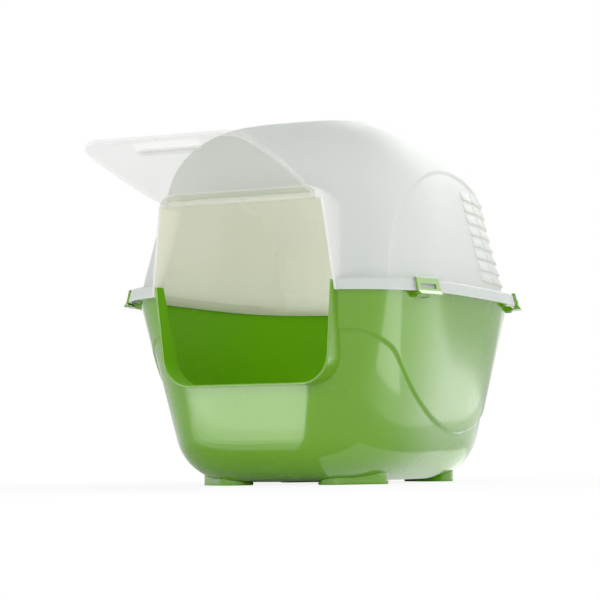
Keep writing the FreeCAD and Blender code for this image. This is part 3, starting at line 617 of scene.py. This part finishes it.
def pad_rings():
    """Rows of wedges round the rear of the hood, proud at the lower edge and flush at the upper one."""
    fine = np.linspace(0, math.pi / 2, 4001)
    reach = (np.cos(fine) ** PLAN_POWER + np.sin(fine) ** PLAN_POWER) ** (-1 / PLAN_POWER)
    middle = hood_reach(PAD_FIRST_Z + PAD_ROWS * PAD_PITCH / 2)
    x = np.cos(fine) * reach
    y = np.sin(fine) * reach
    walk = np.concatenate([[0], np.cumsum(middle * np.hypot(np.diff(x), np.diff(y) * HOOD_ASPECT))])
    columns = []
    spot = walk[-1] - PAD_COLUMN_PITCH / 2
    while np.interp(spot, walk, y) * middle * HOOD_ASPECT > PAD_FRONT_Y + PAD_WIDTH / 2:
        columns.append(spot)
        spot -= PAD_COLUMN_PITCH
    offsets = np.array(PAD_ACROSS) * PAD_WIDTH
    lifts = np.array(PAD_LIFTS)[:, None]
    line = smooth_line(ARCH_LINE)
    round_z = np.array([0, 0, 0.13, 0.5, 1]) * PAD_EDGE
    round_out = np.array([0, -1, -0.5, -0.13, 0]) * PAD_EDGE
    many = []
    for column in columns:
        px = np.interp(column + offsets, walk, x)[:, None]
        py = np.interp(column + offsets, walk, y)[:, None]
        for row in range(PAD_ROWS):
            low_z = PAD_FIRST_Z + row * PAD_PITCH
            high_z = low_z + PAD_HEIGHT
            z = np.array([*(low_z + round_z), high_z, high_z])
            rise = np.array([0, 1, 1, 1, 1, 0, 0]) * PAD_RISE * lifts
            rise += np.array([-PAD_ROOT, *round_out[1:], 0, -PAD_ROOT])
            half = np.array([hood_reach(level) for level in z])
            out_x = px ** (PLAN_POWER - 1) / half
            out_y = py ** (PLAN_POWER - 1) / (half * HOOD_ASPECT)
            size = np.hypot(out_x, out_y)
            wall_y = half * HOOD_ASPECT * py
            wall_z = z + 0 * wall_y
            low = below_line(wall_y.ravel(), wall_z.ravel(), line, ARCH_WIDTH).reshape(wall_y.shape)
            rise -= ARCH_STEP * low
            rings = np.stack([half * px + out_x / size * rise, wall_y + out_y / size * rise, wall_z], -1)
            many += [rings, rings * (-1, 1, 1)]
    return many


def hinge_rings(radius, start, length, side, count=28):
    """Rod on the flap's hinge axis, from a distance off the middle."""
    turns = np.linspace(0, 2 * math.pi, count, endpoint=False)
    hinge_y = front_y(HINGE_Z) + HINGE_INSET
    rings = []
    for x in (start, start + length):
        rings.append(np.stack([np.full(count, side * x), hinge_y + radius * np.cos(turns),
                               HINGE_Z + radius * np.sin(turns)], 1))
    return rings


def make_hood():
    """Hood with its half of the doorway, its rim, the louvre pads and the hinge bosses."""
    low_z = TRAY_HEIGHT - SKIRT_HEIGHT
    hood = solid("hood_shell", hood_rings(0, *HOOD_OUTER_MESH, TRAY_TOP_Z))
    combine(hood, portal_block("frame", hood_outline, TRAY_HEIGHT), "UNION")
    combine(hood, hood_inside(), "DIFFERENCE")
    combine(hood, solid("rim", plan_rings(rim_section(), HOOD_OUTER_MESH[0]), closed=True), "UNION")
    combine(hood, solids("pads", pad_rings()), "UNION")
    combine(hood, portal_cut("opening", hood_outline, low_z), "DIFFERENCE")
    boss_start = FLAP_HINGE_HALF_WIDTH + BARREL_END_GAP
    boss_length = DOOR_TOP_HALF_WIDTH + PORTAL_WALL / 2 - boss_start
    bosses = [hinge_rings(BOSS_RADIUS, boss_start, boss_length, side) for side in (-1, 1)]
    combine(hood, solids("bosses", bosses), "UNION")
    return hood


def flap_outline(inset, hinge_y):
    """Outline of the flap, moved in by the inset, before it is raised."""
    end_y = inset - FLAP_LENGTH
    hinge = np.array([FLAP_HINGE_HALF_WIDTH - inset, hinge_y])
    middle = np.array([FLAP_MID_HALF_WIDTH - inset, end_y / 2])
    end = np.array([FLAP_END_HALF_WIDTH - inset, end_y])
    t = np.linspace(0, 1, 40)[:, None]
    side = hinge * (1 - t) * (1 - 2 * t) + middle * 4 * t * (1 - t) + end * t * (2 * t - 1)
    radius = FLAP_CORNER_RADIUS - inset
    keep = side[side[:, 1] > end_y + radius * FLAP_CORNER_START]
    corners = [tuple(keep[-1]), tuple(end), (0, end_y)]
    corner = rounded(corners, [0, radius * FLAP_CORNER_SHARE, 0], 16)[1:-1]
    right = np.concatenate([keep, corner])
    left = right[::-1] * (-1, 1)
    return np.concatenate([right, left])


def raise_flap(points):
    """From the flat flap's frame to its place in the doorway."""
    p = np.asarray(points, float)
    c = math.cos(FLAP_RAISE)
    s = math.sin(FLAP_RAISE)
    hinge_y = front_y(HINGE_Z) + HINGE_INSET
    return np.stack([p[..., 0], p[..., 1] * c + p[..., 2] * s + hinge_y,
                     p[..., 2] * c - p[..., 1] * s + HINGE_Z], -1)


def flap_rings(stations, hinge_y):
    """Rings of the flap's outline, from pairs of inset and height."""
    rings = []
    for inset, z in stations:
        shape = flap_outline(inset, hinge_y)
        rings.append(np.column_stack([shape, np.full(len(shape), z)]))
    return raise_flap(rings)


def grip_rings(stations):
    """Rings of the finger grip, from pairs of inset and height."""
    rings = []
    for inset, z in stations:
        x = GRIP_HALF_WIDTH - inset
        y = GRIP_HALF_LENGTH - inset
        radius = max(GRIP_CORNER_RADIUS - inset * 0.7, 1.5)
        shape = rounded([(-x, -y), (x, -y), (x, y), (-x, y)], [radius] * 4, 10)
        rings.append(np.column_stack([shape + (0, GRIP_FROM_END - FLAP_LENGTH), np.full(len(shape), z)]))
    return raise_flap(rings)


def make_flap():
    """Flap door: sheet with a turned-in lip, finger grip, ribbed hinge barrel and trunnions."""
    top = FLAP_THICKNESS / 2
    lip_z = -top - FLAP_LIP_DEPTH
    edge = [(FLAP_EDGE * 0.5, lip_z), (0, lip_z + FLAP_EDGE * 0.5)]
    for turn in np.linspace(0, math.pi / 2, 5):
        edge.append((FLAP_EDGE * (1 - math.cos(turn)), top - FLAP_EDGE * (1 - math.sin(turn))))
    flap = solid("flap_sheet", flap_rings(edge, 0))
    hollow = [(FLAP_LIP_WIDTH, lip_z - FLAP_LIP_DEPTH), (FLAP_LIP_WIDTH, -top - FLAP_HOLLOW_EDGE),
              (FLAP_LIP_WIDTH + FLAP_HOLLOW_EDGE, -top)]
    combine(flap, solid("hollow", flap_rings(hollow, BARREL_RADIUS + FLAP_LIP_WIDTH)), "DIFFERENCE")
    spaces = [hinge_rings(BOSS_RADIUS + BOSS_GAP, FLAP_HINGE_HALF_WIDTH, FLAP_LIP_DEPTH + 2, side)
              for side in (-1, 1)]
    combine(flap, solids("spaces", spaces), "DIFFERENCE")
    turns = np.linspace(0, 2 * math.pi, BARREL_AROUND, endpoint=False)
    radius = BARREL_RADIUS - BARREL_RIB_DEPTH * (0.5 - 0.5 * np.cos(turns * BARREL_RIBS)) ** 3
    barrel = []
    for x in (-FLAP_HINGE_HALF_WIDTH, FLAP_HINGE_HALF_WIDTH):
        barrel.append(np.stack([np.full(BARREL_AROUND, x), radius * np.cos(turns),
                                radius * np.sin(turns)], 1))
    combine(flap, solid("barrel", raise_flap(barrel)), "UNION")
    pin = hinge_rings(TRUNNION_RADIUS, -FLAP_HINGE_HALF_WIDTH - TRUNNION_LENGTH,
                      2 * (FLAP_HINGE_HALF_WIDTH + TRUNNION_LENGTH), 1)
    combine(flap, solid("pin", pin), "UNION")
    cup_z = -top - GRIP_DEPTH
    cup = [(GRIP_TAPER + inset, cup_z + z) for inset, z in GRIP_CUP_EDGE]
    cup.append((0, top - 0.2))
    combine(flap, solid("cup", grip_rings(cup)), "UNION")
    floor_z = cup_z + GRIP_WALL
    pocket = [(GRIP_TAPER + GRIP_WALL + inset, floor_z + z) for inset, z in GRIP_POCKET_EDGE]
    mouth = GRIP_WALL - GRIP_MOUTH_EDGE
    pocket += [(GRIP_WALL, top - GRIP_MOUTH_EDGE), (mouth, top), (mouth, top + 3)]
    combine(flap, solid("pocket", grip_rings(pocket)), "DIFFERENCE")
    return flap


def make_latch(corner):
    """Clip that leans with the skirt: plate with a window, hook, finger tab, web, knuckle and pin."""
    spot, out, along = clip_frame(*CORNERS[corner])

    def prism(outline, width):
        return solid("form", [[spot + out * x + along * end + (0, 0, z) for x, z in outline]
                              for end in (-width / 2, width / 2)])

    def rod(radius, width):
        turns = np.linspace(0, 2 * math.pi, 24, endpoint=False)
        outline = np.stack([radius * np.cos(turns) - CLIP_PIVOT_INSET,
                            radius * np.sin(turns) + CLIP_PIVOT_Z], 1)
        return prism(outline, width)

    def lean(z):
        return -(z - TRAY_HEIGHT) * SKIRT_LEAN

    def front_block(half, low_z, high_z, radii):
        shape = rounded([(-half, low_z), (half, low_z), (half, high_z), (-half, high_z)], radii, 8)
        return solid("block", [[spot + out * x + along * y + (0, 0, z) for y, z in shape]
                               for x in (-FAR, FAR)])

    face = CLIP_GAP + CLIP_THICKNESS
    low = CLIP_PIVOT_Z - CLIP_THICKNESS / 2
    high = CLIP_PIVOT_Z + CLIP_THICKNESS / 2
    hook_low = RIM_TOP_Z + CLIP_HOOK_GAP
    hook_top = hook_low + CLIP_HOOK_THICKNESS
    ear_clear = EAR_RADIUS + CLIP_EAR_GAP - CLIP_PIVOT_INSET
    corners = [(ear_clear, low), (face + CLIP_TAB, low), (face + CLIP_TAB, low + CLIP_TAB_EDGE),
               (face, high + CLIP_TAB), (face + lean(hook_top), hook_top),
               (lean(hook_top) - CLIP_HOOK_REACH, hook_top), (lean(hook_low) - CLIP_HOOK_REACH, hook_low),
               (CLIP_GAP + lean(hook_low), hook_low), (CLIP_GAP, high), (ear_clear, high)]
    latch = prism(rounded(corners, CLIP_SECTION_RADII, 5), CLIP_WIDTH)
    latch.name = "clip_" + corner
    combine(latch, front_block(CLIP_WIDTH / 2, low - 1, hook_top + 1, CLIP_FACE_RADII), "INTERSECT")
    web = [(-CLIP_PIVOT_INSET, low), (CLIP_GAP, low), (CLIP_GAP, high), (-CLIP_PIVOT_INSET, high)]
    combine(latch, prism(web, CLIP_KNUCKLE_WIDTH), "UNION")
    combine(latch, rod(CLIP_KNUCKLE_RADIUS, CLIP_KNUCKLE_WIDTH), "UNION")
    combine(latch, rod(CLIP_PIN_RADIUS, CLIP_KNUCKLE_WIDTH + 2 * CLIP_PIN_LENGTH), "UNION")
    window_z = (low + hook_top) / 2
    window = front_block(CLIP_WINDOW_WIDTH / 2, window_z - CLIP_WINDOW_HEIGHT / 2,
                         window_z + CLIP_WINDOW_HEIGHT / 2, [CLIP_WINDOW_RADIUS] * 4)
    for vert in window.data.vertices:
        ahead = (np.array(vert.co) / MM - (0, BODY_Y, 0) - spot) @ out
        if ahead < 0:
            vert.co += Vector((FAR - CLIP_THICKNESS) * MM * out)
    combine(latch, window, "DIFFERENCE")
    return latch


def bevel_edges(obj, width):
    """Small round on all sharp edges."""
    edge = obj.modifiers.new("edges", "BEVEL")
    edge.width = width * MM
    edge.segments = 2
    edge.limit_method = "ANGLE"
    edge.angle_limit = math.radians(40)


def node_material(name):
    """Material with its principled shader and its tree."""
    mat = bpy.data.materials.new(name)
    mat.use_nodes = True
    tree = mat.node_tree
    return mat, tree, tree.nodes["Principled BSDF"]


def add_noise(tree, scale, detail, roughness=0.5):
    """Noise over the object's own coordinates."""
    place = tree.nodes.new("ShaderNodeTexCoord")
    noise = tree.nodes.new("ShaderNodeTexNoise")
    noise.inputs["Scale"].default_value = scale
    noise.inputs["Detail"].default_value = detail
    noise.inputs["Roughness"].default_value = roughness
    tree.links.new(place.outputs["Object"], noise.inputs["Vector"])
    return noise.outputs["Fac"]


def add_ramp(tree, value, low, high):
    """Colour or grey between two ends, from a noise."""
    ramp = tree.nodes.new("ShaderNodeValToRGB")
    ramp.color_ramp.elements[0].position = NOISE_LOW
    ramp.color_ramp.elements[1].position = NOISE_HIGH
    ramp.color_ramp.elements[0].color = low
    ramp.color_ramp.elements[1].color = high
    tree.links.new(value, ramp.inputs["Fac"])
    return ramp.outputs["Color"]


def add_range(tree, value, low, high, first=NOISE_LOW, last=NOISE_HIGH):
    """A value, such as a noise, spread over a range of numbers."""
    spread = tree.nodes.new("ShaderNodeMapRange")
    spread.inputs["From Min"].default_value = first
    spread.inputs["From Max"].default_value = last
    spread.inputs["To Min"].default_value = low
    spread.inputs["To Max"].default_value = high
    tree.links.new(value, spread.inputs["Value"])
    return spread.outputs["Result"]


def add_bump(tree, shader, value, strength, distance):
    """Fine relief on a shader."""
    bump = tree.nodes.new("ShaderNodeBump")
    bump.inputs["Strength"].default_value = strength
    bump.inputs["Distance"].default_value = distance
    tree.links.new(value, bump.inputs["Height"])
    tree.links.new(bump.outputs["Normal"], shader.inputs["Normal"])


def add_inside(tree, middle_z):
    """1 on faces turned towards the middle of the box and 0 on faces turned away from it."""
    place = tree.nodes.new("ShaderNodeTexCoord")
    middle = tree.nodes.new("ShaderNodeVectorMath")
    middle.operation = "SUBTRACT"
    middle.inputs[1].default_value = (0, BODY_Y * MM, middle_z * MM)
    tree.links.new(place.outputs["Object"], middle.inputs[0])
    turned = tree.nodes.new("ShaderNodeVectorMath")
    turned.operation = "DOT_PRODUCT"
    tree.links.new(middle.outputs["Vector"], turned.inputs[0])
    tree.links.new(place.outputs["Normal"], turned.inputs[1])
    mask = tree.nodes.new("ShaderNodeMapRange")
    mask.inputs["From Min"].default_value = INSIDE_SOFTNESS
    mask.inputs["From Max"].default_value = -INSIDE_SOFTNESS
    tree.links.new(turned.outputs["Value"], mask.inputs["Value"])
    return mask.outputs["Result"]


def add_blend(tree, share, first, second, kind="FLOAT"):
    """Blend of two numbers or colours by a share."""
    mix = tree.nodes.new("ShaderNodeMix")
    mix.data_type = kind
    socket = "RGBA" if kind == "RGBA" else "VALUE"
    ends = [k for k in mix.inputs if k.type == socket and k.name in "AB"]
    tree.links.new(share, mix.inputs[0])
    for end, value in zip(ends, (first, second)):
        if hasattr(value, "is_output"):
            tree.links.new(value, end)
        else:
            end.default_value = value
    return [k for k in mix.outputs if k.type == socket][0]


def moulded(name, low, high, rough, bump):
    """Moulded plastic: faint flow marks in the colour, and a finish that varies a little."""
    mat, tree, shader = node_material(name)
    flow = add_noise(tree, *FLOW_NOISE)
    grain = add_noise(tree, *GRAIN_NOISE)
    handled = add_noise(tree, *HANDLED_NOISE)
    colour = add_ramp(tree, flow, (*low, 1), (*high, 1))
    finish = add_range(tree, handled, *rough)
    tree.links.new(colour, shader.inputs["Base Color"])
    tree.links.new(finish, shader.inputs["Roughness"])
    add_bump(tree, shader, grain, *bump)
    return mat, tree, shader, colour, finish


def green_plastic():
    """Glossy tray plastic under a smooth skin, duller inside the tray."""
    mat, tree, shader, colour, finish = moulded("green_plastic", *GREEN)
    inside = add_inside(tree, TRAY_MIDDLE_Z)
    deep = add_blend(tree, inside, colour, GREEN_INSIDE, "RGBA")
    tree.links.new(deep, shader.inputs["Base Color"])
    tree.links.new(add_blend(tree, inside, finish, GREEN_INSIDE_ROUGHNESS), shader.inputs["Roughness"])
    tree.links.new(add_blend(tree, inside, 1.0, 0.0), shader.inputs["Coat Weight"])
    tree.links.new(add_blend(tree, inside, *GREEN_SPECULAR), shader.inputs["Specular IOR Level"])
    shader.inputs["IOR"].default_value = GREEN_IOR
    shader.inputs["Coat IOR"].default_value = SKIN_IOR
    shader.inputs["Coat Roughness"].default_value = SKIN_ROUGHNESS
    return mat


def white_plastic():
    """Satin hood plastic, which lets some light through its wall, with painted warm light on its inner
    faces.
    """
    mat, tree, shader, colour, _ = moulded("white_plastic", *WHITE)
    # Painted light: the inner faces take a warm cream for light through the wall and off the green tray
    colour_with_painted_inner_light = add_blend(tree, add_inside(tree, HOOD_MIDDLE_Z), colour, WHITE_INSIDE_PAINTED_LIGHT, "RGBA")
    tree.links.new(colour_with_painted_inner_light, shader.inputs["Base Color"])
    through = tree.nodes.new("ShaderNodeBsdfTranslucent")
    through.inputs["Color"].default_value = WHITE_THROUGH
    mix = tree.nodes.new("ShaderNodeMixShader")
    mix.inputs["Fac"].default_value = WHITE_THROUGH_SHARE
    tree.links.new(shader.outputs["BSDF"], mix.inputs[1])
    tree.links.new(through.outputs["BSDF"], mix.inputs[2])
    tree.links.new(mix.outputs["Shader"], tree.nodes["Material Output"].inputs["Surface"])
    return mat


def clear_plastic():
    """Frosted clear sheet."""
    mat, _, shader, _, _ = moulded("clear_plastic", *CLEAR)
    shader.inputs["Alpha"].default_value = CLEAR_ALPHA
    return mat


def put_material(obj, mat):
    """One material on the whole of an object."""
    obj.data.materials.clear()
    obj.data.materials.append(mat)


def finish_piece(obj, mat, body, node):
    """Shading, material and body of a finished piece, and the CAD node that it hides."""
    shade(obj)
    put_material(obj, mat)
    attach(obj, body)
    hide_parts(node)


green = green_plastic()
white = white_plastic()
clear = clear_plastic()

finish_piece(make_tray(), green, "box", "base_tray")
finish_piece(make_hood(), white, "box", "hood")
finish_piece(make_flap(), clear, "flap", "flap_door")

for corner in CORNERS:
    latch = make_latch(corner)
    bevel_edges(latch, CLIP_BEVEL)
    finish_piece(latch, green, "clip_" + corner, "latch_" + corner)
    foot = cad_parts["foot_" + corner]
    put_material(foot, green)
    bevel_edges(foot, FOOT_BEVEL)

# Camera at the photograph's place
CAMERA_SPOT = (1002.6, -2329.7, 30.7)
CAMERA_YAW = 0.41959
CAMERA_PITCH = 0.07073
CAMERA_ROLL = 0.01264
CAMERA_LENS = 132.63

camera = bpy.data.objects.new("camera", bpy.data.cameras.new("camera"))
camera.data.lens = CAMERA_LENS
camera.data.sensor_width = 36
camera.data.clip_end = 100
bpy.context.scene.collection.objects.link(camera)
forward = Vector((-math.sin(CAMERA_YAW) * math.cos(CAMERA_PITCH),
                  math.cos(CAMERA_YAW) * math.cos(CAMERA_PITCH), math.sin(CAMERA_PITCH)))
level = Vector((math.cos(CAMERA_YAW), math.sin(CAMERA_YAW), 0))
upright = level.cross(forward)
right = level * math.cos(CAMERA_ROLL) - upright * math.sin(CAMERA_ROLL)
up = level * math.sin(CAMERA_ROLL) + upright * math.cos(CAMERA_ROLL)
spot = Vector((CAMERA_SPOT[0], CAMERA_SPOT[1] + BODY_Y, CAMERA_SPOT[2])) * MM
camera.matrix_world = Matrix((right, up, -forward)).transposed().to_4x4()
camera.location = spot
bpy.context.scene.camera = camera


def white_when_seen(tree, shader, shares):
    """Mix of a shader with white, by a share for each kind of ray."""
    path = tree.nodes.new("ShaderNodeLightPath")
    total = None
    for ray, share in shares.items():
        part = tree.nodes.new("ShaderNodeMath")
        part.operation = "MULTIPLY"
        tree.links.new(path.outputs[ray], part.inputs[0])
        if hasattr(share, "is_output"):
            tree.links.new(share, part.inputs[1])
        else:
            part.inputs[1].default_value = share
        if total:
            most = tree.nodes.new("ShaderNodeMath")
            most.operation = "MAXIMUM"
            tree.links.new(total, most.inputs[0])
            tree.links.new(part.outputs["Value"], most.inputs[1])
            total = most.outputs["Value"]
        else:
            total = part.outputs["Value"]
    mix = tree.nodes.new("ShaderNodeMixShader")
    tree.links.new(total, mix.inputs["Fac"])
    tree.links.new(shader, mix.inputs[1])
    return mix


def make_floor():
    """Pale floor, almost white to the eye but with the object's shadow on it."""
    mesh = bpy.data.meshes.new("floor")
    size = FLOOR_HALF_SIZE
    corners = [(-size, -size, 0), (size, -size, 0), (size, size, 0), (-size, size, 0)]
    mesh.from_pydata(corners, [], [(0, 1, 2, 3)])
    floor = bpy.data.objects.new("floor", mesh)
    bpy.context.scene.collection.objects.link(floor)
    mat, tree, shader = node_material("floor")
    shader.inputs["Base Color"].default_value = FLOOR_COLOUR
    shader.inputs["Roughness"].default_value = FLOOR_ROUGHNESS
    glow = tree.nodes.new("ShaderNodeEmission")
    place = tree.nodes.new("ShaderNodeTexCoord")
    away = tree.nodes.new("ShaderNodeVectorMath")
    away.operation = "LENGTH"
    tree.links.new(place.outputs["Object"], away.inputs[0])
    seen = add_range(tree, away.outputs["Value"], *FLOOR_SEEN)
    reflected = add_range(tree, away.outputs["Value"], *FLOOR_REFLECTED)
    shares = {"Is Camera Ray": seen, "Is Transmission Ray": seen, "Is Glossy Ray": reflected}
    mix = white_when_seen(tree, shader.outputs["BSDF"], shares)
    tree.links.new(glow.outputs["Emission"], mix.inputs[2])
    tree.links.new(mix.outputs["Shader"], tree.nodes["Material Output"].inputs["Surface"])
    mesh.materials.append(mat)


def make_world():
    """Soft studio surroundings, white to the eye and in reflections."""
    world = bpy.data.worlds.new("studio")
    world.use_nodes = True
    bpy.context.scene.world = world
    tree = world.node_tree
    ambient = tree.nodes["Background"]
    ambient.inputs["Color"].default_value = AMBIENT_COLOUR
    ambient.inputs["Strength"].default_value = AMBIENT_STRENGTH
    seen = tree.nodes.new("ShaderNodeBackground")
    seen.inputs["Color"].default_value = (1, 1, 1, 1)
    seen.inputs["Strength"].default_value = 1.0
    shares = {"Is Camera Ray": 1.0, "Is Transmission Ray": 1.0, "Is Glossy Ray": 1.0}
    mix = white_when_seen(tree, ambient.outputs["Background"], shares)
    tree.links.new(seen.outputs["Background"], mix.inputs[2])
    tree.links.new(mix.outputs["Shader"], tree.nodes["World Output"].inputs["Surface"])


def add_light(name, place, target, size, brightness, card=False):
    """Soft box that faces a point, not seen itself; a card is only seen in reflections."""
    data = bpy.data.lights.new(name, "AREA")
    data.shape = "RECTANGLE"
    data.size, data.size_y = size
    data.energy = math.pi * brightness * size[0] * size[1]
    lamp = bpy.data.objects.new(name, data)
    bpy.context.scene.collection.objects.link(lamp)
    lamp.location = place
    lamp.rotation_euler = (Vector(target) - Vector(place)).to_track_quat("-Z", "Y").to_euler()
    lamp.visible_camera = False
    lamp.visible_diffuse = not card


def add_card(name, place, size, brightness):
    """Card that faces up."""
    add_light(name, place, (place[0], place[1], 1), size, brightness, True)


make_floor()
make_world()
for name, box in SOFT_BOXES.items():
    add_light(name, *box)
for name, card in CARDS.items():
    add_card(name, *card)
for layer in range(CARD_LAYERS):
    for name, (place, size, place_step, size_step, brightness) in LAYERED_CARDS.items():
        layer_place = [start + layer * step for start, step in zip(place, place_step)]
        layer_size = [start + layer * step for start, step in zip(size, size_step)]
        add_card("%s_%d" % (name, layer), layer_place, layer_size, brightness)
bpy.context.scene.view_settings.view_transform = "Standard"
